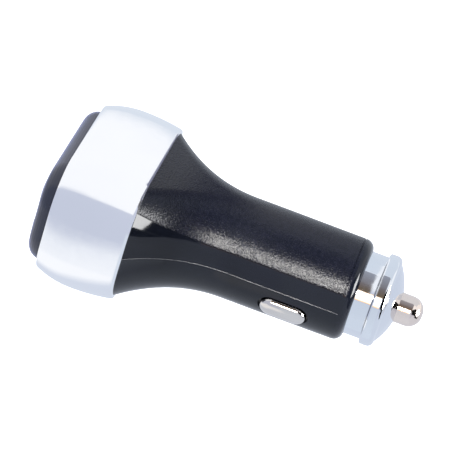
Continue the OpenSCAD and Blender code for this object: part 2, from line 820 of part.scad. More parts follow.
spring_mean_r = 3.3;
spring_turns = 6;
spring_steps = 14;
module pin_spring() {
    wire_r = pin_wire_d / 2;
    from = terminal_front_x + wire_r + fit;
    to = collar_back_x - wire_r - fit;
    pitch = (to - from - 2 * pin_wire_d) / (spring_turns - 2);
    // The first and last turn lie closed, one wire wide
    function rise(n) = n < 1 ? n * pin_wire_d
        : n < spring_turns - 1 ? pin_wire_d + (n - 1) * pitch
        : to - from - (spring_turns - n) * pin_wire_d;
    color(spring_steel) wire([for (i = [0:spring_turns * spring_steps])
        let (n = i / spring_steps)
        [from + rise(n), spring_mean_r * cos(360 * n), spring_mean_r * sin(360 * n)]], wire_r);
}

module spring_terminal() {
    tab_w = 4;
    disc_r = spring_mean_r + pin_wire_d;
    back = terminal_front_x - terminal_t;
    color(brass) union() {
        along_x(back) cylinder(r = disc_r, h = terminal_t);
        box([board_nose_x - tab_len, back + 0.1], [-tab_w / 2, tab_w / 2], [board_z - terminal_t, board_z]);
    }
}

// Side contacts

// Half of a contact's section, as half width and height
module contact_half(width) {
    half = width / 2;
    edge_r = 1;
    crown = 0.35;
    polygon(concat([[0, contact_flange_low], [half + flange_out, contact_flange_low],
        [half + flange_out, contact_flange_top], [half, contact_flange_top]],
        [for (p = arc(half - edge_r, contact_top - crown - edge_r, edge_r, 0, 72, 6)) p],
        [[(half - edge_r) * 0.5, contact_top - crown * 0.12], [0, contact_top]]));
}

module side_contact(side) {
    straight = contact_len - contact_w;
    color(nickel) at_contact(side) union() {
        for (end = [0, 1]) rotate([0, 0, 180 * end]) translate([straight / 2, 0, 0])
            rotate([0, 0, -90]) rotate_extrude(angle = 180) contact_half(contact_w);
        translate([-straight / 2, 0, 0]) rotate([90, 0, 90]) linear_extrude(straight) {
            contact_half(contact_w);
            mirror([1, 0]) contact_half(contact_w);
        }
    }
}

// A leaf spring's middle line, as x from the slot's middle and height from the axis
function leaf_line() =
    let (held = leaf_seat - leaf_t / 2, touch = contact_flange_low - fit - leaf_t / 2)
    [[-slot_x + lead_x - lead_d / 2, held], [-slot_x + 1.7, held], [-slot_x + 2.9, touch - 0.45],
        [-3, touch - 0.2], [0, touch], [2.6, touch - 0.15], [4.4, touch - 0.6]];

module contact_spring(side) {
    line = leaf_line();
    color(spring_steel) at_contact(side) translate([0, leaf_w / 2, 0]) rotate([90, 0, 0])
        linear_extrude(leaf_w) polygon(concat(
            [for (p = line) p + [0, leaf_t / 2]],
            [for (p = reversed(line)) p - [0, leaf_t / 2]]));
}

lead_d = 1;
lead_steps = 8;
lead_x = keeper_x[0] - lead_d / 2 - 0.1;
module ground_lead(side) {
    r = leaf_seat - leaf_t - fit - lead_d / 2;
    board_y = side * (board_barrel_w / 2 - lead_d);
    color([0.15, 0.15, 0.15]) wire(concat(
        [for (i = [0:lead_steps])
            let (a = blend(-contact_angle, 4, i / lead_steps))
            [lead_x, side * r * cos(a), r * sin(a)]],
        [for (drop = [1.1, 0]) [lead_x, board_y, board_z - solder_gap - drop]]), lead_d / 2);
}

main_housing();
trim_band();
face_panel();
light_guide();
status_led();
circuit_board();
usb_shell(LEFT);  // usb_shell_left
usb_shell(RIGHT);  // usb_shell_right
usb_tongue(LEFT);  // usb_tongue_left
usb_tongue(RIGHT);  // usb_tongue_right
usb_contacts(LEFT);  // usb_contacts_left
usb_contacts(RIGHT);  // usb_contacts_right
controller_chip();
inductor_core();
inductor_winding();
input_capacitor();
output_capacitor();
rectifier_diode();
board_fuse();
end_cap();
centre_pin();
pin_spring();
spring_terminal();
side_contact(LEFT);  // side_contact_left
side_contact(RIGHT);  // side_contact_right
contact_spring(LEFT);  // contact_spring_left
contact_spring(RIGHT);  // contact_spring_right
ground_lead(LEFT);  // ground_lead_left
ground_lead(RIGHT);  // ground_lead_right
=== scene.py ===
import bpy, bmesh, math
from mathutils import Vector, Matrix

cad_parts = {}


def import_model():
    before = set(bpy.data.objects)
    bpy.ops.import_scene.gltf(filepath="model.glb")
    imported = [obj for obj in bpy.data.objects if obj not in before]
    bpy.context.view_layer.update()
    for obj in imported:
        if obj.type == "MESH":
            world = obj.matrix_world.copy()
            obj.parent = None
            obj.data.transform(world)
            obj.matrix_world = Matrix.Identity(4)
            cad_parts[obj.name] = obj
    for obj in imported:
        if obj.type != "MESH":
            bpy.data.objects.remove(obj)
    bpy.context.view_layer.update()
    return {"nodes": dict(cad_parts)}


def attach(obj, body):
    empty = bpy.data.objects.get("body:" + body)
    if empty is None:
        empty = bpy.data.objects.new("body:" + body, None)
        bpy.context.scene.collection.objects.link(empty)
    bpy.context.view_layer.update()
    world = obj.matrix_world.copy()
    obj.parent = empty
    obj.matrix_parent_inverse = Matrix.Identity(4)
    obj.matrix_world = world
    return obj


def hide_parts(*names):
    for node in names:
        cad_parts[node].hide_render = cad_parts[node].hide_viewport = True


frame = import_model()
MM = 0.001
nodes = frame["nodes"]

# Sizes in millimetres and degrees, as in the part's source
# The barrel, its plain stretch and its rounded end
PLUG_R, BORE_R, PLAIN = 10.4, 8.9, 6.4
BARREL_END, EDGE_R, TAPER = 21.1, 1.9, 0.08
# The side contacts' slots: place, length, width and degrees below the sides
SLOT_X, SLOT_LEN, SLOT_W, CONTACT_ANGLE = 8.85, 10.3, 5.0, 24.0
# The head's half width, half height and corner, and the flare that leads to it
HEAD_A, HEAD_B, HEAD_R = 19.0, 12.2, 8.6
FLARE_X, FLARE_LEN, FLARE_POWER = -3.2, 19.6, 2.2
# The band's two edges, and the thinner wall on which it sits
BAND_LEN = 16.0
REAR_X = FLARE_X - FLARE_LEN
FRONT_X = REAR_X - BAND_LEN
SEAT, WALL, MOUTH_X = 1.3, 1.1, FRONT_X + 0.6
# The groove between gloss and grain: half its width, and its angle at barrel and head
GROOVE, EDGE_BARREL, EDGE_HEAD = 0.14, 23.5, 43.5
# The cap's seat in the barrel, and the pin
CAP_SEAT_R, CAP_SEAT_LEN, PIN_R = 7.95, 5.4, 3.05


# Camera

def aim_camera():
    """The photograph's view. scale is in pixels for each millimetre."""
    picture, sensor = 452, 36.0
    scale, distance, middle = 5.122, 650.0, -3.75
    right_pixels, up_pixels = -12.82, 21.5
    az, el, roll = math.radians(4.99), math.radians(31.32), math.radians(17.84)
    back = Vector((math.sin(az) * math.cos(el), -math.cos(az) * math.cos(el), math.sin(el)))
    right = Vector((math.cos(az), math.sin(az), 0))
    up = back.cross(right)
    r = math.cos(roll) * right + math.sin(roll) * up
    u = math.cos(roll) * up - math.sin(roll) * right
    centre = Vector((middle, 0, 0)) + right_pixels / scale * r + up_pixels / scale * u
    data = bpy.data.cameras.new("camera")
    cam = bpy.data.objects.new("camera", data)
    bpy.context.scene.collection.objects.link(cam)
    cam.matrix_world = Matrix((r, u, back)).transposed().to_4x4()
    cam.location = (centre + distance * back) * MM
    data.sensor_width = sensor
    data.lens = scale * distance / picture * sensor
    data.clip_start, data.clip_end = 0.01, 20
    bpy.context.scene.camera = cam


aim_camera()


# Materials

def feed(tree, socket, value):
    """Links value into socket if it comes out of a node, and sets it if it is a constant."""
    if isinstance(value, bpy.types.NodeSocket):
        tree.links.new(value, socket)
    else:
        socket.default_value = value


def mixed(tree, share, first, second):
    """A colour between two, each with its alpha."""
    n = tree.nodes.new("ShaderNodeMix")
    n.data_type = "RGBA"
    for place, value in ((0, share), (6, first), (7, second)):
        feed(tree, n.inputs[place], value)
    return n.outputs[2]


class Shade:
    """A material with its shader, and short ways to wire nodes into it."""

    def __init__(self, name, colour, metallic=0.0, roughness=0.5, **more):
        self.mat = bpy.data.materials.new(name)
        self.mat.use_nodes = True
        self.tree = self.mat.node_tree
        self.bsdf = self.tree.nodes["Principled BSDF"]
        self.bsdf.inputs["Base Color"].default_value = (*colour, 1)
        self.bsdf.inputs["Metallic"].default_value = metallic
        self.bsdf.inputs["Roughness"].default_value = roughness
        for key, value in more.items():
            self.bsdf.inputs[key.replace("_", " ")].default_value = value
        self.coord = self.tree.nodes.new("ShaderNodeTexCoord").outputs["Object"]

    def node(self, kind, **inputs):
        n = self.tree.nodes.new(kind)
        for key, value in inputs.items():
            feed(self.tree, n.inputs[key.replace("_", " ")], value)
        return n

    def weighted_sum(self, value, weight, other):
        """value times weight, plus other."""
        n = self.tree.nodes.new("ShaderNodeMath")
        n.operation = "MULTIPLY_ADD"
        for socket, given in zip(n.inputs, (value, weight, other)):
            feed(self.tree, socket, given)
        return n.outputs[0]

    def noise(self, size, detail=2.0, stretch=(1, 1, 1)):
        """Noise from 0 to 1 whose features are about size millimetres wide."""
        vector = self.node("ShaderNodeMapping", Vector=self.coord, Scale=stretch).outputs[0]
        return self.node("ShaderNodeTexNoise", Vector=vector, Scale=1000.0 / size,
                         Detail=detail).outputs["Fac"]

    def spread(self, value, low, high):
        """Maps 0.3 to 0.7 onto low to high."""
        n = self.node("ShaderNodeMapRange", Value=value, From_Min=0.3, From_Max=0.7,
                      To_Min=low, To_Max=high)
        return n.outputs["Result"]

    def roughness(self, value, low, high):
        self.tree.links.new(self.spread(value, low, high), self.bsdf.inputs["Roughness"])

    def colour(self, value, first, second):
        both = mixed(self.tree, self.spread(value, 0, 1), (*first, 1), (*second, 1))
        self.tree.links.new(both, self.bsdf.inputs["Base Color"])

    def bump(self, height, strength, distance):
        out = self.node("ShaderNodeBump", Height=height, Strength=strength,
                        Distance=distance * MM).outputs[0]
        self.tree.links.new(out, self.bsdf.inputs["Normal"])


def plain(name, colour, second, metallic, low, high, size, bump, stretch=(1, 1, 1)):
    """An inner piece's finish: two colours, roughness from low to high, and a fine relief."""
    s = Shade(name, colour, metallic)
    n = s.noise(size, 3.0, stretch)
    s.colour(s.noise(size * 4), colour, second)
    s.roughness(n, low, high)
    s.bump(n, 1.0, bump)
    return s.mat


def grained_black():
    s = Shade("grained_black", (0.003, 0.004, 0.01), 0.0, 0.3, Specular_IOR_Level=0.28)
    fine, coarse = s.noise(0.3, 1.0), s.noise(0.8, 1.0)
    s.colour(coarse, (0.003, 0.004, 0.009), (0.006, 0.007, 0.014))
    s.roughness(fine, 0.2, 0.3)
    s.bump(s.weighted_sum(coarse, 0.4, fine), 1.0, 0.06)
    return s.mat


def gloss_black():
    s = Shade("gloss_black", (0.004, 0.005, 0.008), 0.0, 0.08, Specular_IOR_Level=0.33)
    s.colour(s.noise(9.0), (0.004, 0.005, 0.008), (0.005, 0.006, 0.01))
    s.roughness(s.noise(3.0), 0.05, 0.09)
    s.bump(s.noise(2.2, 1.0), 0.1, 0.004)
    return s.mat


def face_black():
    s = Shade("face_black", (0.018, 0.021, 0.044), 0.0, 0.2, Specular_IOR_Level=0.6,
              Sheen_Weight=0.9, Sheen_Roughness=0.3, Sheen_Tint=(0.5, 0.54, 1.0, 1.0))
    s.colour(s.noise(8.0), (0.016, 0.019, 0.04), (0.02, 0.024, 0.048))
    s.roughness(s.noise(0.5), 0.18, 0.26)
    s.bump(s.noise(0.3), 0.2, 0.005)
    return s.mat


def satin_silver():
    s = Shade("satin_silver", (0.88, 0.89, 0.92), 1.0, 0.15)
    s.colour(s.noise(12.0), (0.87, 0.88, 0.91), (0.89, 0.9, 0.93))
    s.roughness(s.noise(1.2), 0.1, 0.15)
    s.bump(s.noise(0.4), 0.05, 0.002)
    return s.mat


def bright_chrome():
    s = Shade("bright_chrome", (0.79, 0.82, 0.87), 1.0, 0.05)
    s.colour(s.noise(7.0), (0.78, 0.81, 0.86), (0.81, 0.84, 0.89))
    s.roughness(s.noise(0.8), 0.035, 0.07)
    s.bump(s.noise(1.6, 1.0), 0.06, 0.004)
    return s.mat


def nickel(name, colour, second):
    s = Shade(name, colour, 1.0, 0.1)
    s.colour(s.noise(3.0), colour, second)
    s.roughness(s.noise(0.5), 0.07, 0.12)
    s.bump(s.noise(0.3), 0.06, 0.002)
    return s.mat


# The parting line's ridge gets a grey lighter than the black shell: a painted highlight along the
# line.
def seam_highlight_material():
    s = Shade("seam_painted_highlight", (0.08, 0.08, 0.085), 0.0, 0.4)
    s.colour(s.noise(0.9), (0.025, 0.026, 0.029), (0.1, 0.1, 0.105))
    s.roughness(s.noise(0.5), 0.35, 0.5)
    s.bump(s.noise(0.3), 0.1, 0.004)
    return s.mat


GRAINED, GLOSS, FACE = grained_black(), gloss_black(), face_black()
SILVER, CHROME, SEAM_HIGHLIGHT_PAINT = satin_silver(), bright_chrome(), seam_highlight_material()
PIN_NICKEL = nickel("pin_nickel", (0.84, 0.73, 0.66), (0.86, 0.76, 0.7))
CONTACT_NICKEL = nickel("contact_nickel", (0.7, 0.665, 0.635), (0.72, 0.685, 0.66))


# Meshes

def smooth(bm, angle):
    """Smooth shading, with the edges over angle degrees kept sharp."""
    limit = math.radians(angle)
    for f in bm.faces:
        f.smooth = True
    for e in bm.edges:
        e.smooth = len(e.link_faces) == 2 and e.calc_face_angle(0) < limit


def new_object(name, bm, materials, angle=30.0):
    """A finished piece at the origin, smooth but for edges sharper than angle."""
    bmesh.ops.remove_doubles(bm, verts=bm.verts, dist=1e-7)
    bmesh.ops.recalc_face_normals(bm, faces=bm.faces)
    smooth(bm, angle)
    mesh = bpy.data.meshes.new(name)
    bm.to_mesh(mesh)
    bm.free()
    obj = bpy.data.objects.new(name, mesh)
    bpy.context.scene.collection.objects.link(obj)
    for m in materials:
        mesh.materials.append(m)
    return obj


def loft(rings, closed=False, slots=None):
    """Quads between rings of the same number of points, given in millimetres. closed joins
    the last ring to the first, and slots gives the material of a row's quad."""
    bm = bmesh.new()
    rows = [[bm.verts.new(Vector(p) * MM) for p in ring] for ring in rings]
    n = len(rings[0])
    last = len(rows) if closed else len(rows) - 1
    for k in range(last):
        low, high = rows[k], rows[(k + 1) % len(rows)]
        for i in range(n):
            j = (i + 1) % n
            f = bm.faces.new((low[i], low[j], high[j], high[i]))
            if slots:
                f.material_index = slots(k, i)
    return bm


def smoothstep(low, high, x):
    t = min(max((x - low) / (high - low), 0), 1)
    return t * t * (3 - 2 * t)


def lerp(a, b, t):
    return a + (b - a) * t


def arc(cx, cy, r, start, end, n):
    """Points on a circle, from start to end in degrees and n steps."""
    angles = [math.radians(lerp(start, end, i / n)) for i in range(n + 1)]
    return [(cx + r * math.cos(t), cy + r * math.sin(t)) for t in angles]


def circle_through(half, height):
    """The radius of an arc that rises by height over half its width."""
    return (half ** 2 + height ** 2) / (2 * height)


# Main housing

# Steps round a corner: below and above the groove, and on the lower side
LOW_STEPS, HIGH_STEPS, PLAIN_STEPS, FIRST_ANGLE = 7, 16, 20, 1.4
# The ring groove's place, and the share of a groove's width that its floor takes
GRAIN_END, GROOVE_FLOOR = BARREL_END - EDGE_R - 0.2, 0.3
# The parting line's half width and height, and where it has faded out and is whole
SEAM_W, SEAM_H, SEAM_OUT, SEAM_WHOLE = 0.065, 0.035, GRAIN_END + 0.4, GRAIN_END - 0.8
SHELL_ANGLE = 25


def along_flare(x):
    """0 where the flare leaves the barrel, 1 where it meets the band."""
    return min(max((FLARE_X - x) / FLARE_LEN, 0), 1)


def opened(x):
    """The head's share in the section at x."""
    return along_flare(x) ** FLARE_POWER


def border_angle(x):
    """Degrees from the side up to the border between gloss and grain."""
    return lerp(EDGE_BARREL, EDGE_HEAD, along_flare(x) ** 3)


def corner_angles(x, upper, r):
    """Angles from the side to the top or bottom, and the groove's share of depth at each."""
    last = 90 - FIRST_ANGLE
    if not upper:
        return [(lerp(FIRST_ANGLE, last, i / PLAIN_STEPS), 0) for i in range(PLAIN_STEPS + 1)]
    edge, half = border_angle(x), math.degrees(GROOVE / max(r, 1))
    low = [lerp(FIRST_ANGLE, edge - half, i / LOW_STEPS) for i in range(LOW_STEPS + 1)]
    high = [lerp(edge + half, last, i / HIGH_STEPS) for i in range(HIGH_STEPS + 1)]
    floor_half = half * GROOVE_FLOOR
    return ([(t, 0) for t in low] + [(edge - floor_half, 1), (edge + floor_half, 1)]
            + [(t, 0) for t in high])


def housing_ring(x, a, b, r, groove, seam, top):
    """One section: half width, half height and corner, the depth of the groove and height
    of the parting line. top sinks the whole grained side, for its ring groove."""
    half = []
    for side, upper in ((1, True), (-1, False)):
        points = []
        for t, deep in corner_angles(x, upper, r):
            sunk = r - max(deep * groove, top if upper and t > border_angle(x) else 0)
            points.append((a - r + sunk * math.cos(math.radians(t)),
                           side * (b - r + sunk * math.sin(math.radians(t)))))
        half.append(points)
    up, down = half
    mid = [(a, -SEAM_W), (a + seam, 0), (a, SEAM_W)]
    right = list(reversed(down)) + mid + up
    left = [(-y, z) for y, z in reversed(right)]
    return [(x, y, z) for y, z in right + left]


def housing():
    """The shell's sections, from the mouth over the outside to the barrel's end, and back
    inside."""
    rings = []

    def add(x, a, b, r, groove=0.0, seam=0.0, top=0.0):
        rings.append(housing_ring(x, a, b, r, groove, seam, top))

    def outer(x, top=0.0):
        k = opened(x)
        seam = SEAM_H * smoothstep(SEAM_OUT, SEAM_WHOLE, x)
        sink = TAPER * max(x - PLAIN / 2, 0) / (BARREL_END - PLAIN / 2)
        add(x, lerp(PLUG_R, HEAD_A, k) - sink, lerp(PLUG_R, HEAD_B, k) - sink,
            lerp(PLUG_R, HEAD_R, k) - sink, GROOVE if x < GRAIN_END else 0, seam, top)

    flare_steps, barrel_steps, round_steps, inner_steps = 46, 44, 12, 11
    step, ledge, chamfer, mouth_r = 0.01, 0.3, 0.2, 8.5
    seat = [d - SEAT for d in (HEAD_A, HEAD_B, HEAD_R)]
    inside = [d - WALL for d in seat]
    add(MOUTH_X, *seat)
    add(REAR_X - step, *seat)
    for k in range(flare_steps + 1):
        outer(lerp(REAR_X, FLARE_X, k / flare_steps))
    for k in range(1, barrel_steps + 1):
        outer(lerp(FLARE_X, GRAIN_END - GROOVE, k / barrel_steps))
    outer(GRAIN_END - GROOVE * GROOVE_FLOOR, GROOVE)
    outer(GRAIN_END + GROOVE * GROOVE_FLOOR, GROOVE)
    outer(GRAIN_END + GROOVE)
    grain_row = len(rings)
    for dx, dr in arc(0, 0, EDGE_R, 90, 0, round_steps):
        r = PLUG_R - TAPER - EDGE_R + dr
        add(BARREL_END - EDGE_R + dx, r, r, r)
    for depth, r in ((0, mouth_r), (0, CAP_SEAT_R), (CAP_SEAT_LEN, CAP_SEAT_R),
                     (CAP_SEAT_LEN + chamfer, BORE_R)):
        add(BARREL_END - depth, r, r, r)
    for k in range(inner_steps + 1):
        x = lerp(FLARE_X, REAR_X, k / inner_steps)
        add(x, *[lerp(BORE_R, d - ledge, opened(x)) for d in inside])
    add(REAR_X - step, *inside)
    add(MOUTH_X, *inside)

    # Places in a section, counted from the right side's lowest point
    n = len(rings[0])
    ridge = PLAIN_STEPS + 1
    border = ridge + 3 + LOW_STEPS + 1
    ridges = (ridge, ridge + 1, n - ridge - 2, n - ridge - 3)

    def slots(k, i):
        """Gloss 0, grain 1 up to the start of the rounded end, and the parting line's painted
        highlight 2.
        """
        if k < 2 or k > grain_row + 1:
            return 0
        if k < grain_row - 1 and i in ridges:
            return 2
        return 1 if border <= i < n - border - 1 else 0

    return new_object("housing_shell", loft(rings, True, slots), [GLOSS, GRAINED, SEAM_HIGHLIGHT_PAINT],
                      SHELL_ANGLE)


def at_slot(name, side, straight, profile, materials, angle):
    """A stadium-shaped solid with a profile of (end radius, distance from the axis), turned
    to the slot on its side. straight is half the length between its round ends."""
    turn = Matrix.Rotation(math.radians(-side * (90 + CONTACT_ANGLE)), 3, "X")
    rings = []
    for r, z in profile:
        rings.append([turn @ Vector((SLOT_X + end * x, end * y, z))
                      for end in (1, -1) for x, y in arc(straight, 0, r, -90, 90, 24)])
    bm = loft(rings)
    bmesh.ops.holes_fill(bm, edges=bm.edges[:], sides=0)
    return new_object(name, bm, materials, angle)


def slot_cutter(side):
    """A prism through the barrel's wall, in the slot's outline."""
    r, inside, outside = SLOT_W / 2, 7.0, 12.0
    return at_slot("cutter", side, SLOT_LEN / 2 - r, [(r, inside), (r, outside)], [], 30)


def cut(obj, cutters, angle):
    """Takes the cutters out of obj and removes them, and marks the sharp edges again."""
    for c in cutters:
        m = obj.modifiers.new("cut", "BOOLEAN")
        m.operation, m.solver, m.object = "DIFFERENCE", "MANIFOLD", c
    whole = obj.evaluated_get(bpy.context.evaluated_depsgraph_get())
    old, obj.data = obj.data, bpy.data.meshes.new_from_object(whole)
    obj.modifiers.clear()
    bpy.data.meshes.remove(old)
    for c in cutters:
        bpy.data.objects.remove(c)
    bm = bmesh.new()
    bm.from_mesh(obj.data)
    smooth(bm, angle)
    bm.to_mesh(obj.data)
    bm.free()


shell = housing()
cut(shell, [slot_cutter(1), slot_cutter(-1)], SHELL_ANGLE)
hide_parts("main_housing")
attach(shell, "charger")


# Trim band

def head_ring(x, offset):
    """The head's rounded section at x, made larger by offset all round."""
    y, z, r, gap = HEAD_A - HEAD_R, HEAD_B - HEAD_R, HEAD_R + offset, 0.8
    points = []
    for quarter, (sy, sz) in enumerate(((1, 1), (-1, 1), (-1, -1), (1, -1))):
        start = 90 * quarter
        points += arc(sy * y, sz * z, r, start + gap, start + 90 - gap, 20)
    return [(x, *point) for point in points]


def band():
    """A closed profile of (offset from the head, x), carried round the head. It rises by
    crown to its peak and falls to rear, and lip rounds its two outer edges."""
    crown, rear, peak, lip, steps = 1.6, 0.8, 7.6, 0.16, 28
    inner = -SEAT + 0.05
    front_r = circle_through(peak, crown)
    rear_r = circle_through(BAND_LEN - peak, crown - rear)
    outer = []
    for k in range(steps + 1):
        x = BAND_LEN * k / steps
        radius = front_r if x < peak else rear_r
        outer.append((crown - radius + math.sqrt(radius ** 2 - (x - peak) ** 2), FRONT_X + x))
    first, last = outer[0][0], outer[-1][0]
    outer[0], outer[-1] = (first, FRONT_X + lip * 0.6), (last, REAR_X - lip)
    profile = [(inner, FRONT_X + lip), (inner, REAR_X),
               (last - lip * 1.4, REAR_X), (last - lip * 0.45, REAR_X - lip * 0.2)]
    profile += reversed(outer)
    profile += [(first - lip * 0.4, FRONT_X + lip * 0.1), (first - lip * 1.6, FRONT_X)]
    rings = [head_ring(x, offset) for offset, x in profile]
    return new_object("plated_band", loft(rings, True), [SILVER], 34)


ring = band()
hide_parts("trim_band")
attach(ring, "charger")


# Turned pieces

def turned(name, profile, material, steps, angle):
    """A profile of (radius, x) turned round the plug's axis."""
    turns = [2 * math.pi * k / steps for k in range(steps)]
    rings = [[(x, r * math.cos(t), r * math.sin(t)) for t in turns] for r, x in profile]
    return new_object(name, loft(rings, True), [material], angle)


def cap():
    """Stem in the barrel, neck, flange with its two rims, dome, and the hollow inside."""
    bore, stem, neck, flange, hole = 5.5, 7.9, 8.45, 9.3, PIN_R + 0.08
    stem_end, shoulder, back, front, dome, ceiling = (
        15.9, BARREL_END + 0.05, 24.5, 27.3, 29.8, 27.5)
    rim, back_rim, fillet = 1.3, 0.45, 0.15
    reach = flange - rim
    dome_r = circle_through(reach, dome - front)
    dome_start, dome_end = (math.degrees(math.acos(r / dome_r)) for r in (reach, hole))
    profile = [(bore, stem_end), (stem, stem_end), (stem, shoulder), (neck, shoulder),
               (neck, back - fillet)]
    profile += arc(neck + fillet, back - fillet, fillet, 165, 90, 6)
    profile += arc(flange - back_rim, back + back_rim, back_rim, -80, 0, 8)
    profile += arc(reach, front - rim, rim, 0, 74, 10)
    profile += arc(0, dome - dome_r, dome_r, dome_start, dome_end, 16)
    profile += [(hole, ceiling), (bore, ceiling)]
    return turned("plated_cap", profile, CHROME, 128, 30)


tip_cap = cap()
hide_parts("end_cap")
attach(tip_cap, "charger")


def pin():
    """A stem for the spring, a collar behind the cap, and the rounded tip."""
    centre, stem, collar, rounding = 0.02, 2.0, 4.05, 2.75
    rear, collar_rear, collar_front, tip = 24.0, 26.05, 27.45, 34.4
    profile = [(centre, rear), (stem, rear), (stem, collar_rear), (collar, collar_rear),
               (collar, collar_front), (PIN_R, collar_front)]
    profile += arc(PIN_R - rounding, tip - rounding, rounding, 0, 89, 24) + [(centre, tip)]
    return turned("nickel_pin", profile, PIN_NICKEL, 96, 40)


tip_pin = pin()
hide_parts("centre_pin")
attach(tip_pin, "pin")


# Side contacts

def contact(name, side):
    """A crowned button with a rounded edge, on a flange that holds it behind the slot."""
    centre, straight, half, flange, thick, edge = 0.02, 2.45, 2.25, 2.8, 0.5, 1.0
    foot, edge_top, top, crown, crown_from = 8.45, 11.25, 11.6, 0.467, 62
    crown_half = half - edge + edge * math.cos(math.radians(crown_from))
    crown_r = circle_through(crown_half, crown)
    start = math.degrees(math.acos(crown_half / crown_r))
    profile = [(centre, foot), (flange, foot), (flange, foot + thick), (half, foot + thick)]
    profile += arc(half - edge, edge_top - edge, edge, 0, 60, 12)
    profile += arc(0, top - crown_r, crown_r, start, 89.6, 10)
    return at_slot(name, side, straight, profile, [CONTACT_NICKEL], 40)


for word, side in (("left", 1), ("right", -1)):
    plate = contact("nickel_contact_" + word, side)
    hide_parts("side_contact_" + word)
    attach(plate, word + "_contact")


# The other pieces keep their solids and get finishes

BOARD = plain("solder_mask", (0.02, 0.16, 0.07), (0.03, 0.22, 0.1), 0.0, 0.3, 0.45, 1.0, 0.01)
TIN = plain("tinned_sheet", (0.62, 0.63, 0.65), (0.74, 0.75, 0.77), 1.0, 0.22, 0.36, 0.8, 0.004,
            (0.2, 1, 1))
TONGUE = plain("white_moulding", (0.82, 0.82, 0.8), (0.87, 0.87, 0.85), 0.0, 0.45, 0.6, 0.6, 0.006)
BRASS = plain("gilt_contact", (0.78, 0.58, 0.26), (0.84, 0.66, 0.34), 1.0, 0.2, 0.34, 0.5, 0.003)
PACKAGE = plain("moulded_package", (0.02, 0.02, 0.022), (0.035, 0.035, 0.037), 0.0, 0.5, 0.65,
                0.3, 0.01)
FERRITE = plain("ferrite", (0.05, 0.05, 0.052), (0.08, 0.08, 0.082), 0.0, 0.45, 0.7, 0.3, 0.02)
COPPER = plain("enamelled_copper", (0.62, 0.26, 0.1), (0.74, 0.36, 0.16), 1.0, 0.22, 0.36,
               0.4, 0.01, (1, 1, 6))
SLEEVE = plain("can_sleeve", (0.02, 0.03, 0.1), (0.03, 0.045, 0.14), 0.0, 0.28, 0.4, 1.0, 0.004)
STEEL = plain("spring_steel", (0.52, 0.53, 0.55), (0.64, 0.65, 0.67), 1.0, 0.2, 0.34, 0.6, 0.003)
LEAD = plain("black_insulation", (0.02, 0.02, 0.022), (0.03, 0.03, 0.032), 0.0, 0.4, 0.55,
             0.5, 0.006)
LAMP = plain("lamp_body", (0.8, 0.8, 0.74), (0.85, 0.84, 0.78), 0.0, 0.3, 0.45, 0.5, 0.002)


def clear_moulding():
    s = Shade("clear_moulding", (0.9, 0.95, 1.0), 0.0, 0.05, Transmission_Weight=0.9, IOR=1.49)
    s.roughness(s.noise(0.8), 0.04, 0.12)
    return s.mat


# The start of a node's name, with its material and slot
FINISH = {
    "face_panel": (FACE, "face"), "light_guide": (clear_moulding(), "clear"),
    "status_led": (LAMP, "lamp"),
    "circuit_board": (BOARD, "board"), "usb_shell": (TIN, "tin"), "usb_tongue": (TONGUE, "tongue"),
    "usb_contacts": (BRASS, "brass"), "controller_chip": (PACKAGE, "package"),
    "rectifier_diode": (PACKAGE, "package"), "board_fuse": (LAMP, "lamp"),
    "inductor_core": (FERRITE, "package"), "inductor_winding": (COPPER, "winding"),
    "input_capacitor": (SLEEVE, "can"), "output_capacitor": (SLEEVE, "can"),
    "pin_spring": (STEEL, "spring"), "contact_spring": (STEEL, "spring"),
    "spring_terminal": (BRASS, "brass"), "ground_lead": (LEAD, "lead"),
}
for name, obj in nodes.items():
    for start, (material, slot) in FINISH.items():
        if name.startswith(start):
            obj.data.materials.clear()
            obj.data.materials.append(material)


# Stage

# What gloss sees of the studio
GREY, PALE, WHITE = (0.63, 0.67, 0.79), (0.77, 0.83, 0.91), (1.07, 1.08, 1.1)
BLACK, PURE_WHITE = (0.0, 0.0, 0.0), (1, 1, 1, 1)
FLOOR_Z, FLOOR_HALF = -0.09, 1.6


class Stage:
    """The node tree of the floor, the world or a card, with short ways to wire it."""

    def __init__(self, owner):
        owner.use_nodes = True
        self.tree = owner.node_tree
        self.tree.nodes.clear()

    def node(self, kind, *inputs, op=None):
        n = self.tree.nodes.new(kind)
        if op:
            n.operation = op
        for socket, value in zip(n.inputs, inputs):
            feed(self.tree, socket, value)
        return n

    def math(self, op, *inputs):
        return self.node("ShaderNodeMath", *inputs, op=op).outputs[0]

    def emission(self, colour, strength=1.0):
        return self.node("ShaderNodeEmission", colour, strength).outputs[0]

    def either(self, share, first, second):
        return self.node("ShaderNodeMixShader", share, first, second).outputs[0]

    def coordinates(self, kind):
        return self.node("ShaderNodeTexCoord").outputs[kind]

    def axes(self, kind):
        return self.node("ShaderNodeSeparateXYZ", self.coordinates(kind)).outputs

    def rays(self):
        """Whether a ray comes from gloss, and whether it comes from the camera, straight or
        through clear plastic."""
        path = self.node("ShaderNodeLightPath").outputs
        return path["Is Glossy Ray"], self.math(
            "MAXIMUM", path["Is Camera Ray"], path["Is Transmission Ray"])

    def rise(self, value, low, high):
        """0 up to low, 1 from high on."""
        return self.node("ShaderNodeMapRange", value, low, high, 0.0, 1.0).outputs[0]

    def bands(self, value, low, high, stops):
        """Colours at places between low and high."""
        ramp = self.node("ShaderNodeValToRGB", self.rise(value, low, high))
        elements = ramp.color_ramp.elements
        for k, (place, colour) in enumerate(stops):
            e = elements[k] if k < 2 else elements.new(1.0)
            e.position = (place - low) / (high - low)
            e.color = (*colour, 1)
        return ramp.outputs["Color"]


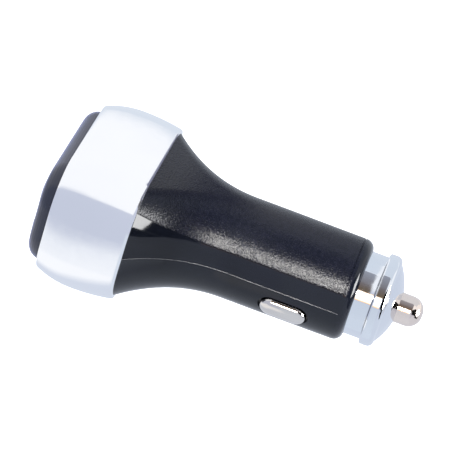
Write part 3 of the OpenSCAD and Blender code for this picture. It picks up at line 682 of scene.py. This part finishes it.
def floor():
    """White to the camera and plain grey to all but gloss. Gloss sees a white disc on grey past
    the head, and a pale grey from there to the tip, which is the object's painted shadow on the
    floor beneath it."""
    bm = bmesh.new()
    bmesh.ops.create_grid(bm, x_segments=2, y_segments=2, size=FLOOR_HALF)
    for v in bm.verts:
        v.co.z = FLOOR_Z
    mat = bpy.data.materials.new("floor_white")
    s = Stage(mat)
    stretched = s.node("ShaderNodeVectorMath", s.coordinates("Object"), (0.924, 1, 1),
                       (0.0092, 0, 0), op="MULTIPLY_ADD").outputs["Vector"]
    reach = s.node("ShaderNodeVectorMath", stretched, op="LENGTH").outputs["Value"]
    disc = s.bands(reach, 0.0, 0.4, [(0.15, WHITE), (0.192, (0.95, 0.98, 1.03)), (0.2005, GREY)])
    axes = s.axes("Object")
    # To gloss, the pale grey side under the object is its painted shadow on the floor.
    shadow_slant = s.math("MULTIPLY_ADD", axes["X"], 1.0, axes["Y"])
    colour = mixed(s.tree, s.rise(shadow_slant, -0.104, -0.064), disc, (0.73, 0.78, 0.88, 1))
    lit = s.node("ShaderNodeBsdfDiffuse", (0.55, 0.56, 0.58, 1)).outputs[0]
    seen = s.node("ShaderNodeAddShader", s.emission(PURE_WHITE, 0.9), lit).outputs[0]
    from_gloss, from_camera = s.rays()
    unseen = s.either(from_gloss, lit, s.emission(colour))
    s.node("ShaderNodeOutputMaterial", s.either(from_camera, unseen, seen))
    new_object("floor", bm, [mat])


def world():
    """White to the camera. The rest sees bands by their angle round the plug's axis: 0
    degrees towards the camera's side, 90 up, and slightly slanted along the plug."""
    w = bpy.data.worlds.new("studio")
    bpy.context.scene.world = w
    s = Stage(w)
    d = s.axes("Generated")
    turn = s.math("ARCTAN2", d["Z"], s.math("MULTIPLY", d["Y"], -1.0))
    degrees = s.math("MULTIPLY", turn, 180 / math.pi)
    slanted = s.math("MULTIPLY_ADD", d["X"], 14.5, degrees)
    colour = s.bands(slanted, -180.0, 180.0, [
        (-120, PALE), (-60, GREY), (37, GREY), (51, WHITE), (175, WHITE), (180, PALE)])
    colour = mixed(s.tree, s.rise(d["Y"], 0.88, 0.93), colour, (*PALE, 1))
    unseen = s.node("ShaderNodeBackground", colour, 1.0).outputs[0]
    seen = s.node("ShaderNodeBackground", PURE_WHITE, 1.0).outputs[0]
    s.node("ShaderNodeOutputWorld", s.either(s.rays()[1], unseen, seen))


def towards(azimuth, elevation, distance=1.0):
    """A direction, with azimuth 0 towards the camera's side and 90 towards the plug's tip."""
    a, e = math.radians(azimuth), math.radians(elevation)
    return distance * Vector((math.sin(a) * math.cos(e), -math.cos(a) * math.cos(e), math.sin(e)))


def lamp(name, place, target, size, radiance, colour=(1, 1, 1)):
    """A flat lamp of the given brightness, which the camera doesn't see."""
    data = bpy.data.lights.new(name, "AREA")
    data.shape = "RECTANGLE"
    data.size, data.size_y = size
    data.energy, data.color = radiance * math.pi * size[0] * size[1], colour
    obj = bpy.data.objects.new(name, data)
    bpy.context.scene.collection.objects.link(obj)
    z = (Vector(place) - Vector(target)).normalized()
    x = Vector((0, 0, 1)).cross(z).normalized()
    obj.matrix_world = Matrix((x, z.cross(x), z)).transposed().to_4x4()
    obj.location = place
    obj.visible_camera = False


def card(name, faces, stops, shadow=False):
    """A studio card that shows in gloss only: faces given by their corners, and one colour
    or colours by height."""
    bm = bmesh.new()
    for corners in faces:
        bm.faces.new([bm.verts.new(p) for p in corners])
    mat = bpy.data.materials.new(name)
    s = Stage(mat)
    if isinstance(stops, list):
        colour = s.bands(s.axes("Object")["Z"], stops[0][0], stops[-1][0], stops)
    else:
        colour = (*stops, 1)
    s.node("ShaderNodeOutputMaterial", s.emission(colour))
    obj = new_object(name, bm, [mat])
    obj.visible_camera = obj.visible_diffuse = False
    obj.visible_shadow = shadow


def long_card(name, x0, x1, profile, stops):
    """A card along the plug from x0 to x1, with a profile of (y, z)."""
    faces = [((x0, *p), (x1, *p), (x1, *q), (x0, *q)) for p, q in zip(profile, profile[1:])]
    card(name, faces, stops)


def far_card(name, centre, distance, directions):
    """A black card at a distance from centre, cornered by azimuths and elevations."""
    centre = Vector(centre)
    card(name, [[centre + towards(a, e, distance) for a, e in directions]], BLACK)


floor()
world()

# One lamp beyond the tip for the light on the flare, one in front for the barrel's streak
FLARE_MIDDLE = Vector((-0.02, -0.015, 0.007))
lamp("side_softbox", FLARE_MIDDLE + towards(89, 7.5, 0.42), FLARE_MIDDLE, (0.185, 0.18), 20.0)
lamp("front_softbox", (0.02, -0.15, 0.077), (0.02, -0.01, 0.004), (0.085, 0.036), 50.0,
     (1.0, 0.98, 0.95))

# What keeps the glossy side dark
far_card("dark_side", (0, 0, 0), 1.2, [
    (90, -20), (90, -4), (76, -4), (76, 40), (28, 40), (31, 7), (43, 6), (56, -1), (66, -8),
    (76, -17)])
far_card("dark_low", (-0.022, -0.017, 0.006), 0.25, [
    (92, -21), (92, -5), (62, -5), (66, -8), (75, -16)])

# The bands in the cap, the pin and the contact
AMBER, GLOW = (1.3, 0.62, 0.2), (2.2, 2.0, 1.7)
long_card("warm_strip", -0.02, 0.064, [(-0.152, 0.03), (-0.152, 0.12)],
          [(0.03, AMBER), (0.045, GLOW), (0.106, GLOW), (0.12, AMBER)])
long_card("dark_cap", 0.0135, 0.07, [(-0.0705, 0.0535), (-0.045, 0.082), (0.002, 0.098)],
          [(0.0535, (0.16, 0.11, 0.06)), (0.075, (0.19, 0.165, 0.165)),
           (0.098, (0.36, 0.38, 0.44))])
long_card("dark_contact", -0.003, 0.0135, [(-0.045, 0.033), (-0.032, 0.046), (0.0, 0.058)],
          [(0.033, (0.5, 0.37, 0.18)), (0.04, (0.3, 0.22, 0.12)), (0.046, (0.07, 0.06, 0.06)),
           (0.058, (0.12, 0.12, 0.14))])
long_card("pale_cap", 0.003, 0.07, [(-0.015, -0.0895), (-0.1, -0.085), (-0.1, 0.018)],
          [(-0.0895, (0.76, 0.82, 0.91)), (0.018, (0.7, 0.76, 0.85))])

# The pale and dark shapes that the upper side and the outline mirror
long_card("dark_top", -0.0145, -0.006, [(-0.015, 0.034), (0.005, 0.03), (0.04, 0.022)],
          (0.2, 0.2, 0.27))
TOP_LEFT, TOP_RIGHT = -0.1, -0.014
TOP_EDGE = [(TOP_LEFT, 0.006), (-0.067, 0.023), (-0.058, 0.0298), (-0.05, 0.036),
            (-0.0397, 0.0401), (TOP_RIGHT, 0.0408)]
for name, y, lift, colour in (("pale_top", 0.06, 0.0, PALE),
                              ("pale_top_edge", 0.0605, 0.0009, (0.92, 0.95, 1.0))):
    edge = [(x, y, z + lift) for x, z in TOP_EDGE]
    card(name, [[(TOP_LEFT, y, 0.0), *edge, (TOP_RIGHT, y, 0.0)]], colour)
long_card("dark_rear", 0.006, 0.06, [(0.12, 0.055), (0.12, 0.14)], (0.22, 0.23, 0.33))
long_card("pale_rear", 0.0135, 0.12, [(0.003, 0.0985), (0.06, 0.09), (0.11, 0.04)], PALE)

# Keeps the front lamp off the band, so it casts a shadow
BAND_FLAG = ((-0.075, -0.045, 0.042), (-0.0095, -0.045, 0.037), (-0.0095, -0.024, 0.037))
FLAG_FOOT = 0.004
card("band_flag", [(p, q, (*q[:2], FLAG_FOOT), (*p[:2], FLAG_FOOT))
                   for p, q in zip(BAND_FLAG, BAND_FLAG[1:])], GREY, True)

scene = bpy.context.scene
scene.view_settings.view_transform = "Standard"
scene.view_settings.look = "None"
